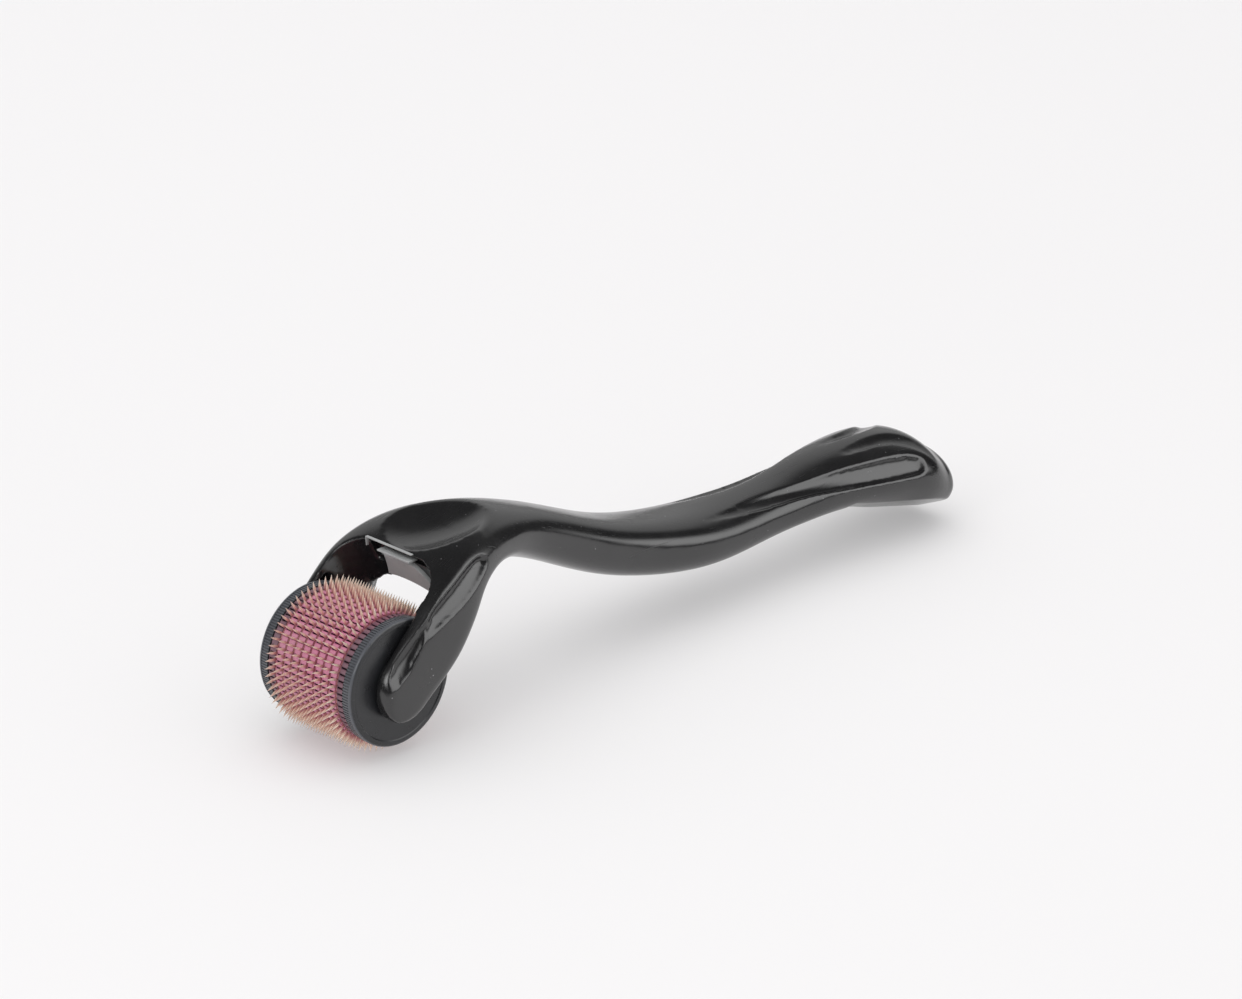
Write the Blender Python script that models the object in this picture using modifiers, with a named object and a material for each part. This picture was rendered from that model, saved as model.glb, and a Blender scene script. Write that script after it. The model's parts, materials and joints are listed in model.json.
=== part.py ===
"""Derma roller: a one-piece handle with a two-armed fork, and a free-running needle roller.

Frame: metres, +Z up, the roller and the tail of the handle both stand on z = 0.
+X runs from the roller to the tail, and the roller turns about a line along Y.
"""
from math import atan2, cos, pi, radians, sin

import bmesh
import bpy
from mathutils import Euler, Matrix, Vector

MM = 0.001

# ---- Roller -----------------------------------------------------------------
DRUM_R = 9.6 * MM              # outer radius of the plastic rings
NEEDLE_L = 2.2 * MM            # needle, from the disc's rim to its point
NEEDLE_ROOT_W = 0.46 * MM      # width of a needle where it leaves the disc
DISC_SET_BACK = 0.1 * MM       # how far the disc's rim lies under the rings
CAP_LIP = 0.2 * MM             # how far the caps stand out over the rings
NEEDLES_PER_DISC = 60
DISC_COUNT = 9
DISC_T = 0.25 * MM             # thickness of the etched steel
SPACER_T = 1.275 * MM
STACK_GAP = 0.05 * MM          # clearance between neighbours in the stack
CAP_T = 1.9 * MM
CAP_EDGE = 0.35 * MM           # bevel round the outer face of a cap
CORE_R = 5.0 * MM              # hexagon core, axle to corner
CORE_FIT = 0.12 * MM           # clearance of discs and rings on the core
CORE_BORE_R = 2.6 * MM
SPIGOT_L = 3.0 * MM            # cap spigot inside the core
SPIGOT_FIT = 0.15 * MM
JOURNAL_R = 2.0 * MM
JOURNAL_L = 1.8 * MM
JOURNAL_FIT = 0.15 * MM        # radial clearance in the arm's pocket
JOURNAL_END_GAP = 0.3 * MM
ROUND_FACETS = 32

# ---- Fork and handle ----------------------------------------------------------
ARM_GAP = 0.4 * MM             # between a cap's outer face and the arm
ARM_T = 2.7 * MM
ARM_END_R = 5.6 * MM           # rounded end of an arm, about the axle
NEEDLE_ROOM = 1.6 * MM         # needle points to the nearest part of the fork
CAP_ROOM = 1.0 * MM            # the same for the caps
BAY_WALL = (-6.0 * MM, 5.6 * MM, 17.6 * MM)  # wall between the arms: centre from the axle, radius
BAY_CORNER = 5.0 * MM          # rounding between that wall and the arms
BAY_STEP = 0.1 * MM            # the bay is this much narrower outside the room round the caps
TAIL_REACH = 121.8 * MM        # axle to the end of the tail

DISC_ROOT_R = DRUM_R - DISC_SET_BACK
NEEDLE_TIP_R = DISC_ROOT_R + NEEDLE_L
CAP_R = DRUM_R + CAP_LIP
STACK_L = DISC_COUNT * DISC_T + (DISC_COUNT + 1) * (SPACER_T + 2 * STACK_GAP)
CAP_INNER = STACK_L / 2
CAP_OUTER = CAP_INNER + CAP_T
ARM_INNER = CAP_OUTER + ARM_GAP
ARM_OUTER = ARM_INNER + ARM_T
AXLE = Vector(((NEEDLE_TIP_R - TAIL_REACH) / 2, 0, NEEDLE_TIP_R))

# Stations along the handle: forward distance from the axle, height, half width, thickness above
# and below that point, squareness of the upper and lower half of the section, and its lean in
# degrees (0 stands upright, 90 lies flat). The head's heights are from the axle, and the grip's
# are from the surface that the roller and the tail stand on.
HEAD_STATIONS = (
    (0.0, 0.0, ARM_OUTER, ARM_END_R, ARM_END_R, 6.0, 6.0, 48.0),
    (5.6 * MM, 5.2 * MM, ARM_OUTER, 6.1 * MM, 6.4 * MM, 5.5, 5.5, 46.0),
    (10.8 * MM, 10.2 * MM, ARM_OUTER - 0.3 * MM, 6.0 * MM, 6.1 * MM, 4.0, 4.0, 38.0),
    (17.0 * MM, 13.6 * MM, 10.9 * MM, 4.6 * MM, 4.8 * MM, 2.8, 2.8, 18.0),
    (24.8 * MM, 13.9 * MM, 8.2 * MM, 3.9 * MM, 4.1 * MM, 2.3, 2.3, -6.0),
)
GRIP_STATIONS = (
    (34.2 * MM, 22.5 * MM, 6.3 * MM, 4.0 * MM, 3.9 * MM, 2.1, 2.1, -23.0),
    (50.8 * MM, 15.0 * MM, 6.6 * MM, 4.4 * MM, 4.3 * MM, 2.1, 2.1, -18.0),
    (67.8 * MM, 11.1 * MM, 7.6 * MM, 4.4 * MM, 4.3 * MM, 2.1, 2.1, -5.0),
    (85.1 * MM, 11.0 * MM, 6.7 * MM, 3.8 * MM, 3.7 * MM, 2.1, 2.1, 2.0),
    (98.5 * MM, 11.6 * MM, 7.8 * MM, 4.5 * MM, 4.6 * MM, 2.1, 1.9, 0.0),
    (108.0 * MM, 10.5 * MM, 9.2 * MM, 5.9 * MM, 6.5 * MM, 2.1, 1.6, -6.0),
    (114.2 * MM, 8.5 * MM, 9.5 * MM, 6.7 * MM, 7.2 * MM, 2.1, 1.5, -6.0),
    (118.4 * MM, 6.4 * MM, 8.4 * MM, 5.6 * MM, 6.9 * MM, 2.1, 1.5, -4.0),
)
TAIL_ROUND = 3.4 * MM          # length of the rounded end of the tail
TAIL_DROP = 2.0 * MM           # how far the tail's centre sinks over that length
HEAD_REACH = HEAD_STATIONS[-1][0]
GRIP_STRETCH = (TAIL_REACH - HEAD_REACH) / (GRIP_STATIONS[-1][0] + TAIL_ROUND - HEAD_REACH)
RINGS_PER_SPAN = 3
SECTION_POINTS = 28

# Hollows in the head and the thumb grooves, as ellipsoids: centre from the axle, half sizes
# and tilt about Y.
BOWL = ((15.4 * MM, 0.0, 19.4 * MM), (12.0 * MM, 7.3 * MM, 4.8 * MM), -2.0)
UNDERCUT = ((15.0 * MM, 0.0, 6.3 * MM), (9.5 * MM, 9.8 * MM, 5.2 * MM), -46.0)
ARM_GROOVE = ((10.4 * MM, 13.3 * MM, 13.6 * MM), (11.5 * MM, 2.6 * MM, 2.4 * MM), -38.0)
TAIL_GROOVE = ((91.0 * MM, 8.2 * MM, 3.6 * MM), (26.0 * MM, 3.4 * MM, 2.4 * MM), 3.5)

# The slot under the lip of the bowl and the catch notch beside it, as boxes from the axle:
# low corner and high corner.
LIP_SLOT = ((5.0 * MM, -6.2 * MM, 13.9 * MM), (10.8 * MM, 6.2 * MM, 14.7 * MM))
CATCH_NOTCH = ((5.0 * MM, 2.6 * MM, 11.8 * MM), (11.4 * MM, 5.8 * MM, 14.6 * MM))


def clear_scene():
    for old in list(bpy.data.objects):
        bpy.data.objects.remove(old)


def collection(name):
    group = bpy.data.collections.new(name)
    bpy.context.scene.collection.children.link(group)
    return group


def material(name, colour, roughness, metallic=0.0):
    made = bpy.data.materials.new(name)
    made.use_nodes = True
    shader = made.node_tree.nodes["Principled BSDF"]
    shader.inputs["Base Color"].default_value = (*colour, 1.0)
    shader.inputs["Roughness"].default_value = roughness
    shader.inputs["Metallic"].default_value = metallic
    return made


def add_mesh(name, bm, group, mat=None, location=(0, 0, 0)):
    mesh = bpy.data.meshes.new(name)
    bm.to_mesh(mesh)
    bm.free()
    made = bpy.data.objects.new(name, mesh)
    made.location = location
    group.objects.link(made)
    if mat:
        mesh.materials.append(mat)
        mesh.shade_smooth()
        mesh.set_sharp_from_angle(angle=radians(35))
    return made


def hide_cutter(cutter):
    cutter.hide_render = True
    cutter.display_type = "WIRE"
    return cutter


def cut(target, cutter, operation="DIFFERENCE"):
    boolean = target.modifiers.new(cutter.name, "BOOLEAN")
    boolean.operation = operation
    boolean.solver = "EXACT"
    boolean.object = cutter


def cylinder_along_y(bm, radius, start, end, facets=ROUND_FACETS, x=0.0, z=0.0):
    """A closed cylinder about a line along Y, from y = start to y = end."""
    turn = Matrix.Rotation(radians(-90), 4, "X")
    place = Matrix.Translation((x, (start + end) / 2, z)) @ turn
    bmesh.ops.create_cone(bm, cap_ends=True, segments=facets, radius1=radius, radius2=radius,
                          depth=end - start, matrix=place)


# ---- Handle -------------------------------------------------------------------
def catmull(a, b, c, d, t):
    """One value on the smooth curve that passes through b and c."""
    return 0.5 * (2 * b + (c - a) * t + (2 * a - 5 * b + 4 * c - d) * t ** 2
                  + (3 * b - a - 3 * c + d) * t ** 3)


def along_grip(x):
    """A nominal distance behind the head, stretched to the handle's real length."""
    return HEAD_REACH + (x - HEAD_REACH) * GRIP_STRETCH


def all_stations():
    """Both sets of stations, with every height from the axle."""
    grip = [(along_grip(row[0]), row[1] - NEEDLE_TIP_R, *row[2:]) for row in GRIP_STATIONS]
    return [*HEAD_STATIONS, *grip]


def station_rows(stations):
    """The stations with smooth rows between them."""
    rows = []
    last = len(stations) - 1
    for i in range(last):
        before = stations[max(i - 1, 0)]
        after = stations[min(i + 2, last)]
        for step in range(RINGS_PER_SPAN):
            t = step / RINGS_PER_SPAN
            rows.append(tuple(catmull(*values, t)
                              for values in zip(before, stations[i], stations[i + 1], after)))
    rows.append(stations[last])
    return rows


def section(x, z, half_width, up, down, square_up, square_down, lean):
    """Points of a section across the handle; its upper and lower halves are half superellipses."""
    across = Vector((-sin(radians(lean)), 0, cos(radians(lean))))
    points = []
    for i in range(SECTION_POINTS):
        a = 2 * pi * (i + 0.5) / SECTION_POINTS
        reach, square = (up, square_up) if sin(a) > 0 else (-down, square_down)
        y = half_width * abs(cos(a)) ** (2 / square) * (1 if cos(a) > 0 else -1)
        points.append(Vector((x, y, z)) + across * reach * abs(sin(a)) ** (2 / square))
    return points


def handle_rings():
    """Sections from the round end of the arms to the round end of the tail."""
    rings = []
    stations = all_stations()
    x, z, width, up, down, square_up, square_down, lean = stations[0]
    for angle in (84, 68, 50, 32, 15):
        back, share = ARM_END_R * sin(radians(angle)), cos(radians(angle))
        rings.append(section(x - back * cos(radians(lean)), z - back * sin(radians(lean)), width,
                             up * share, down * share, square_up, square_down, lean))
    rings += [section(*row) for row in station_rows(stations)]
    x, z, width, up, down, square_up, square_down, lean = stations[-1]
    for angle in (22, 42, 60, 75, 86):
        out, share = sin(radians(angle)), cos(radians(angle))
        drop = TAIL_DROP * (1 - share)
        rings.append(section(x + TAIL_ROUND * out, z - drop, width * share ** 0.7, up * share,
                             (down - drop) * share ** 0.5, square_up, square_down, lean))
    return rings


def loft(rings):
    bm = bmesh.new()
    rows = [[bm.verts.new(p) for p in ring] for ring in rings]
    for a, b in zip(rows, rows[1:]):
        for i in range(SECTION_POINTS):
            j = (i + 1) % SECTION_POINTS
            bm.faces.new((a[i], a[j], b[j], b[i]))
    bm.faces.new(rows[0])
    bm.faces.new(rows[-1])
    bmesh.ops.recalc_face_normals(bm, faces=bm.faces)
    return bm


def ellipsoid(name, spec, side, group):
    """An ellipsoid cutter, placed from the axle; side mirrors it to the other side."""
    (x, y, z), half, tilt = spec
    bm = bmesh.new()
    bmesh.ops.create_uvsphere(bm, u_segments=28, v_segments=16, radius=1.0)
    turn = Euler((0, radians(tilt), 0)).to_matrix().to_4x4()
    bm.transform(turn @ Matrix.Diagonal((*half, 1)))
    return hide_cutter(add_mesh(name, bm, group, location=AXLE + Vector((x, side * y, z))))


def box_cutter(name, low, high, group):
    """A box cutter between two corners, placed from the axle."""
    low, high = Vector(low), Vector(high)
    bm = bmesh.new()
    bmesh.ops.create_cube(bm, size=1.0, matrix=Matrix.Diagonal((*(high - low), 1)))
    return hide_cutter(add_mesh(name, bm, group, location=AXLE + (low + high) / 2))


def make_handle(group, cutters, mat):
    handle = add_mesh("handle", loft(handle_rings()), group, mat, AXLE)

    caps = bmesh.new()
    cylinder_along_y(caps, CAP_R + CAP_ROOM, -ARM_INNER, ARM_INNER, facets=48)
    cut(handle, hide_cutter(add_mesh("cut_cap_room", caps, cutters, location=AXLE)))
    needles = bmesh.new()
    half = CAP_INNER - SPACER_T + NEEDLE_ROOM
    cylinder_along_y(needles, NEEDLE_TIP_R + NEEDLE_ROOM, -half, half, facets=48)
    cut(handle, hide_cutter(add_mesh("cut_needle_room", needles, cutters, location=AXLE)))
    wall = bmesh.new()
    wall_x, wall_z, wall_r = BAY_WALL
    half = ARM_INNER - BAY_STEP
    cylinder_along_y(wall, wall_r, -half, half, facets=48, x=wall_x, z=wall_z)
    rims = [edge for edge in wall.edges if abs(edge.verts[0].co.y - edge.verts[1].co.y) < 0.01 * MM]
    bmesh.ops.bevel(wall, geom=rims, offset=BAY_CORNER, segments=5, profile=0.5, affect="EDGES")
    cut(handle, hide_cutter(add_mesh("cut_bay_wall", wall, cutters, location=AXLE)))

    cut(handle, ellipsoid("cut_thumb_bowl", BOWL, 1, cutters))
    cut(handle, ellipsoid("cut_underside", UNDERCUT, 1, cutters))
    for side, word in ((-1, "right"), (1, "left")):
        cut(handle, ellipsoid(f"cut_arm_groove_{word}", ARM_GROOVE, side, cutters))
        (x, y, z), half, tilt = TAIL_GROOVE
        groove = ((along_grip(x), y, z), half, tilt)
        cut(handle, ellipsoid(f"cut_tail_groove_{word}", groove, side, cutters))
        pocket = bmesh.new()
        depth = JOURNAL_L - ARM_GAP + JOURNAL_END_GAP
        ends = sorted((side * (ARM_INNER - ARM_GAP / 2), side * (ARM_INNER + depth)))
        cylinder_along_y(pocket, JOURNAL_R + JOURNAL_FIT, *ends)
        cut(handle, hide_cutter(add_mesh(f"cut_pocket_{word}", pocket, cutters, location=AXLE)))

    cut(handle, box_cutter("cut_lip_slot", *LIP_SLOT, cutters))
    cut(handle, box_cutter("cut_catch_notch", *CATCH_NOTCH, cutters))
    cut(handle, box_cutter("cut_floor", (HEAD_REACH, -2 * ARM_OUTER, -2 * NEEDLE_TIP_R),
                           (2 * TAIL_REACH, 2 * ARM_OUTER, -NEEDLE_TIP_R), cutters))
    return handle


# ---- Roller -------------------------------------------------------------------
def circle_points(radius, count, turn=0.0):
    return [(radius * cos(turn + 2 * pi * i / count), radius * sin(turn + 2 * pi * i / count))
            for i in range(count)]


def needle_outline():
    """The disc's outline: three points for each needle, its two roots and its point."""
    points = []
    half = atan2(NEEDLE_ROOT_W / 2, DISC_ROOT_R)
    for i in range(NEEDLES_PER_DISC):
        a = 2 * pi * i / NEEDLES_PER_DISC
        points.append((DISC_ROOT_R * cos(a - half), DISC_ROOT_R * sin(a - half)))
        points.append((NEEDLE_TIP_R * cos(a), NEEDLE_TIP_R * sin(a)))
        points.append((DISC_ROOT_R * cos(a + half), DISC_ROOT_R * sin(a + half)))
    return points


def flat_ring(name, outlines, thickness, y, group, mat, parent):
    """A plate that stands across the axle, cut to the outlines (rim first, then the bore)."""
    curve = bpy.data.curves.new(name, "CURVE")
    curve.dimensions = "2D"
    curve.fill_mode = "BOTH"
    curve.extrude = thickness / 2
    curve.materials.append(mat)
    for outline in outlines:
        spline = curve.splines.new("POLY")
        spline.points.add(len(outline) - 1)
        for point, (u, v) in zip(spline.points, outline):
            point.co = (u, v, 0, 1)
        spline.use_cyclic_u = True
    made = bpy.data.objects.new(name, curve)
    made.rotation_euler = (radians(90), 0, 0)
    made.location = (0, y, 0)
    made.parent = parent
    group.objects.link(made)
    return made


def make_core(group, mat, parent):
    """The hexagon core with a round bore for the caps' spigots."""
    return flat_ring("roller_core", (circle_points(CORE_R, 6), circle_points(CORE_BORE_R, ROUND_FACETS)),
                     STACK_L, 0, group, mat, parent)


def make_stack(group, steel, pink, parent):
    bore = circle_points(CORE_R + CORE_FIT, 6)
    rim = circle_points(DRUM_R, ROUND_FACETS, pi / ROUND_FACETS)
    y = -STACK_L / 2 + STACK_GAP
    for i in range(DISC_COUNT + 1):
        flat_ring(f"spacer_ring_{i + 1}", (rim, bore), SPACER_T, y + SPACER_T / 2, group, pink, parent)
        y += SPACER_T + STACK_GAP
        if i < DISC_COUNT:
            flat_ring(f"needle_disc_{i + 1}", (needle_outline(), bore), DISC_T, y + DISC_T / 2,
                      group, steel, parent)
            y += DISC_T + STACK_GAP


def make_cap(word, side, group, mat, parent):
    """An end cap: rim, journal for the arm's pocket and spigot for the core, turned in one piece."""
    inner = CAP_INNER + STACK_GAP
    profile = (
        (0.0, CAP_OUTER + JOURNAL_L),
        (JOURNAL_R, CAP_OUTER + JOURNAL_L),
        (JOURNAL_R, CAP_OUTER),
        (CAP_R - CAP_EDGE, CAP_OUTER),
        (CAP_R, CAP_OUTER - CAP_EDGE),
        (CAP_R, inner),
        (CORE_BORE_R - SPIGOT_FIT, inner),
        (CORE_BORE_R - SPIGOT_FIT, inner - SPIGOT_L),
        (0.0, inner - SPIGOT_L),
    )
    bm = bmesh.new()
    verts = [bm.verts.new((r, 0, h)) for r, h in profile]
    for a, b in zip(verts, verts[1:]):
        bm.edges.new((a, b))
    cap = add_mesh(f"end_cap_{word}", bm, group, mat)
    screw = cap.modifiers.new("turn", "SCREW")
    screw.axis = "Z"
    screw.steps = screw.render_steps = ROUND_FACETS
    screw.use_merge_vertices = True
    screw.merge_threshold = 0.01 * MM
    screw.use_normal_calculate = False
    cap.rotation_euler = (radians(-90 * side), 0, 0)
    cap.parent = parent
    return cap


def main():
    clear_scene()
    group = collection("derma_roller")
    cutters = collection("cutters")
    black = material("gloss_black_plastic", (0.012, 0.012, 0.013), 0.12)
    charcoal = material("charcoal_plastic", (0.045, 0.045, 0.05), 0.4)
    pink = material("rose_plastic", (0.55, 0.14, 0.24), 0.4)
    steel = material("gold_plated_steel", (0.85, 0.6, 0.35), 0.3, 1.0)

    make_handle(group, cutters, black)
    axis = bpy.data.objects.new("roller_axis", None)
    axis.location = AXLE
    group.objects.link(axis)
    make_core(group, charcoal, axis)
    make_stack(group, steel, pink, axis)
    make_cap("right", -1, group, charcoal, axis)
    make_cap("left", 1, group, charcoal, axis)


main()
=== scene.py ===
"""Looks of the derma roller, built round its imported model: a gloss black handle with a two-armed
fork, and a drum of rose rings and gold needle discs between two charcoal caps.

Frame: metres, +Z up, +X from the roller to the tail. The roller turns about a line along Y.
"""
import json
from math import cos, pi, radians, sin, sqrt

import bmesh
import bpy
import numpy as np
from mathutils import Matrix, Vector


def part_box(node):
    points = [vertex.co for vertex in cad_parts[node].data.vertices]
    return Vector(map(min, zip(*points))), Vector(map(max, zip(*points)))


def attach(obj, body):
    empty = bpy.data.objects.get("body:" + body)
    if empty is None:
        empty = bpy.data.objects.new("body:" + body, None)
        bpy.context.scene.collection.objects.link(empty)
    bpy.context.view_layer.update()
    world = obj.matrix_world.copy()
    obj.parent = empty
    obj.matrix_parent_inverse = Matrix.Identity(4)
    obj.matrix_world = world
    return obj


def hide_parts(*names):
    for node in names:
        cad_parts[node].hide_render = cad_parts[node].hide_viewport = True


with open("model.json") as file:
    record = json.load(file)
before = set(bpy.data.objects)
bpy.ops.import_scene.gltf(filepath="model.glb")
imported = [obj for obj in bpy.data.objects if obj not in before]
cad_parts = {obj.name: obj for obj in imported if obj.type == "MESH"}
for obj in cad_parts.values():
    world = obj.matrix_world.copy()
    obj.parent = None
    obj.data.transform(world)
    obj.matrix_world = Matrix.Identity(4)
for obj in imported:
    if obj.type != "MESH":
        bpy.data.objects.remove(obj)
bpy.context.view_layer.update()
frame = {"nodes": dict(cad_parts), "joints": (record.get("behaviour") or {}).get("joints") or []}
MM = 0.001

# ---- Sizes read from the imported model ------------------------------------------
def along_drum(start):
    """The nodes whose names start so, in order from the right cap to the left one."""
    return sorted((n for n in frame["nodes"] if n.startswith(start)), key=lambda n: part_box(n)[0].y)


AXLE = Vector(frame["joints"][0]["pos_m"])
DISCS = along_drum("needle_disc_")
RINGS = along_drum("spacer_ring_")
TAIL_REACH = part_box("handle")[1].x - AXLE.x
ARM_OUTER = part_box("handle")[1].y
NEEDLE_TIP_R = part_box(DISCS[0])[1].x - AXLE.x
CAP_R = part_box("end_cap_left")[1].x - AXLE.x
CAP_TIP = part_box("end_cap_left")[1].y            # end of the journal
DISC_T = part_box(DISCS[0])[1].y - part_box(DISCS[0])[0].y
SPACER_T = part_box(RINGS[0])[1].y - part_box(RINGS[0])[0].y
STACK_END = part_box(RINGS[-1])[1].y
CORE_R = AXLE.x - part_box("roller_core")[0].x

# ---- Sizes that the part's source sets -----------------------------------------
CAP_LIP = 0.2 * MM               # a cap's rim stands this much out of the rings
DISC_SET_BACK = 0.1 * MM         # a needle's root lies this much under the rings' crowns
DRUM_R = CAP_R - CAP_LIP
DISC_ROOT_R = DRUM_R - DISC_SET_BACK
NEEDLES_PER_DISC = 60
BORE_GAP = 0.12 * MM             # round the core, in rings and discs
CAP_T = 1.9 * MM
JOURNAL_L = 1.8 * MM
JOURNAL_R = 2.0 * MM
CAP_OUTER = CAP_TIP - JOURNAL_L
CAP_INNER = CAP_OUTER - CAP_T
SPIGOT_R = 2.45 * MM
SPIGOT_L = 3.0 * MM
ARM_GAP = 0.4 * MM               # between a cap and its arm
ARM_INNER = CAP_OUTER + ARM_GAP
ARM_END_R = 5.6 * MM

# ---- Closeness, where faces and edges are picked by their place --------------------
TOUCH = 0.01 * MM                # places this close are the same
MIDDLE_R = 0.3 * MM              # a face this near the axle is an end face
FACING = 0.9                     # a face looks along Y when its normal's Y is over this


# ---- Mesh tools ------------------------------------------------------------------
def clear_selection():
    """Leaves nothing selected, so an operator acts on the new piece only."""
    if bpy.context.object and bpy.context.object.mode != "OBJECT":
        bpy.ops.object.mode_set(mode="OBJECT")
    bpy.ops.object.select_all(action="DESELECT")


def choose(piece):
    """Selects one piece alone and makes it the active one."""
    clear_selection()
    piece.select_set(True)
    bpy.context.view_layer.objects.active = piece


def edit(piece):
    choose(piece)
    bpy.ops.object.mode_set(mode="EDIT")
    bpy.ops.mesh.select_mode(type="FACE")
    return bmesh.from_edit_mesh(piece.data)


def pick_faces(piece, wanted):
    """Selects the faces whose centre and normal pass the test, in edit mode."""
    bpy.ops.mesh.select_mode(type="FACE")
    bpy.ops.mesh.select_all(action="DESELECT")
    bm = bmesh.from_edit_mesh(piece.data)
    for face in bm.faces:
        face.select_set(bool(wanted(face.calc_center_median(), face.normal)))
    bm.select_flush_mode()
    bmesh.update_edit_mesh(piece.data)


def pick_edges(piece, wanted):
    """Selects the edges whose two ends pass the test, in edit mode."""
    bpy.ops.mesh.select_mode(type="EDGE")
    bpy.ops.mesh.select_all(action="DESELECT")
    bm = bmesh.from_edit_mesh(piece.data)
    for edge in bm.edges:
        edge.select_set(bool(wanted(edge.verts[0].co, edge.verts[1].co)))
    bmesh.update_edit_mesh(piece.data)


def done(piece, name=None):
    """Leaves edit mode, puts the piece's place into its mesh and points its faces outwards."""
    if bpy.context.object.mode != "EDIT":
        edit(piece)
    bpy.ops.mesh.select_all(action="SELECT")
    bpy.ops.mesh.normals_make_consistent(inside=False)
    bpy.ops.object.mode_set(mode="OBJECT")
    choose(piece)
    bpy.ops.object.transform_apply(location=True, rotation=True, scale=True)
    if name:
        piece.name = name
        piece.data.name = name
    return piece


def apply_modifier(piece, kind, **settings):
    choose(piece)
    modifier = piece.modifiers.new(kind.lower(), kind)
    for key, value in settings.items():
        setattr(modifier, key, value)
    bpy.ops.object.modifier_apply(modifier=modifier.name)


def cut(piece, cutter):
    """Cuts one shape out of a piece for good."""
    apply_modifier(piece, "BOOLEAN", operation="DIFFERENCE", solver="EXACT", object=cutter)
    bpy.data.objects.remove(cutter)


def round_bar(radius, start, end, sides, x=0.0, z=0.0):
    """A cylinder along Y from start to end, placed from the axle."""
    clear_selection()
    bpy.ops.mesh.primitive_cylinder_add(vertices=sides, radius=radius, depth=end - start,
                                        location=(AXLE.x + x, (start + end) / 2, AXLE.z + z),
                                        rotation=(radians(90), 0, 0))
    return bpy.context.object


def block(low, high):
    """A box between two corners, placed from the axle."""
    low, high = Vector(low), Vector(high)
    clear_selection()
    bpy.ops.mesh.primitive_cube_add(size=1, location=AXLE + (low + high) / 2)
    bpy.context.object.scale = high - low
    return done(bpy.context.object)


def egg(centre, half, tilt):
    """A smooth ellipsoid, placed from the axle and tilted about Y."""
    clear_selection()
    bpy.ops.mesh.primitive_uv_sphere_add(segments=72, ring_count=36, radius=1,
                                         location=AXLE + Vector(centre),
                                         rotation=(0, radians(tilt), 0))
    bpy.context.object.scale = half
    return done(bpy.context.object)


def tube_through(rings):
    """A closed tube: a disc at the first ring, extruded from each ring to the next."""
    clear_selection()
    bpy.ops.mesh.primitive_circle_add(vertices=len(rings[0]), radius=MM, fill_type="NGON")
    tube = bpy.context.object
    bm = edit(tube)
    bm.verts.ensure_lookup_table()
    front = list(range(len(rings[0])))
    for k, place in zip(front, rings[0]):
        bm.verts[k].co = place
    bmesh.update_edit_mesh(tube.data)
    bpy.ops.mesh.select_all(action="SELECT")
    for ring in rings[1:]:
        bpy.ops.mesh.extrude_region_move()
        bm = bmesh.from_edit_mesh(tube.data)
        bm.verts.ensure_lookup_table()
        front = [next(e.other_vert(bm.verts[k]).index for e in bm.verts[k].link_edges
                      if e.other_vert(bm.verts[k]).select) for k in front]
        for k, place in zip(front, ring):
            bm.verts[k].co = place
        bmesh.update_edit_mesh(tube.data)
    return done(tube)


# ---- Handle ------------------------------------------------------------------------
# Stations along the handle: forward distance from the axle, height, half width, thickness above
# and below, squareness of the upper and lower half, and lean in degrees. The head's heights are
# from the axle, and the grip's are from the surface that the roller and the tail stand on.
HEAD_STATIONS = (
    (0.0, 0.0, 13.0, 5.6, 5.6, 6.0, 6.0, 48.0),
    (5.6, 5.2, 13.0, 6.1, 6.4, 5.5, 5.5, 46.0),
    (10.8, 10.2, 12.7, 6.0, 6.1, 4.0, 4.0, 38.0),
    (17.0, 13.6, 10.9, 4.6, 4.8, 2.8, 2.8, 18.0),
    (24.8, 13.9, 8.2, 3.9, 4.1, 2.3, 2.3, -6.0),
)
GRIP_STATIONS = (
    (34.2, 22.5, 6.3, 4.0, 3.9, 2.4, 2.1, -23.0),
    (50.8, 15.0, 6.6, 4.4, 4.3, 2.6, 2.1, -18.0),
    (67.8, 11.1, 7.6, 4.4, 4.3, 2.6, 2.1, -5.0),
    (85.1, 11.0, 6.7, 3.8, 3.7, 2.4, 2.1, 2.0),
    (98.5, 11.6, 7.8, 4.5, 4.6, 2.2, 1.9, 0.0),
    (108.0, 10.5, 9.2, 5.9, 6.3, 2.1, 1.6, -6.0),
    (114.2, 8.5, 9.5, 6.7, 7.0, 2.1, 1.6, -6.0),
    (118.4, 6.4, 8.4, 5.6, 6.7, 2.1, 1.6, -4.0),
)
ARM_END_ANGLES = (86, 72, 56, 40, 26, 12)    # sections round the arms' ends, in degrees
TAIL_END_ANGLES = (15, 30, 45, 60, 74, 85)   # the same round the tail's end
TAIL_ROUND = 3.4                             # length of the tail's round end, mm
TAIL_DROP = 2.0                              # how far its middle sinks over that length, mm
RINGS_PER_SPAN = 4
SECTION_POINTS = 40
# Hollows of the fork: room round the needles and the caps, the round wall between the arms (its
# centre forward and up from the axle, and its radius), the thumb bowl and the hollow under the head
# (centre from the axle, half sizes, tilt in degrees), and the journals' pockets.
NEEDLE_ROOM = 1.6 * MM
NEEDLE_ROOM_R = NEEDLE_TIP_R + NEEDLE_ROOM
NEEDLE_ROOM_HALF = STACK_END - SPACER_T + NEEDLE_ROOM
CAP_ROOM_R = CAP_R + 1.0 * MM
BAY_WALL = (-6.0 * MM, 5.6 * MM, 17.6 * MM)
BAY_STEP = 0.1 * MM                          # the bay is this much narrower than the caps' room
BAY_CORNER = 5.4 * MM
CUTTER_SIDES = 128
BOWL = ((14.6 * MM, 0, 22.5 * MM), (15.5 * MM, 10.0 * MM, 7.1 * MM), -2.0)
UNDERCUT = ((15.0 * MM, 0, 6.3 * MM), (9.5 * MM, 9.8 * MM, 5.2 * MM), -46.0)
POCKET_R = JOURNAL_R + 0.15 * MM
POCKET_END = CAP_TIP + 0.3 * MM
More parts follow.
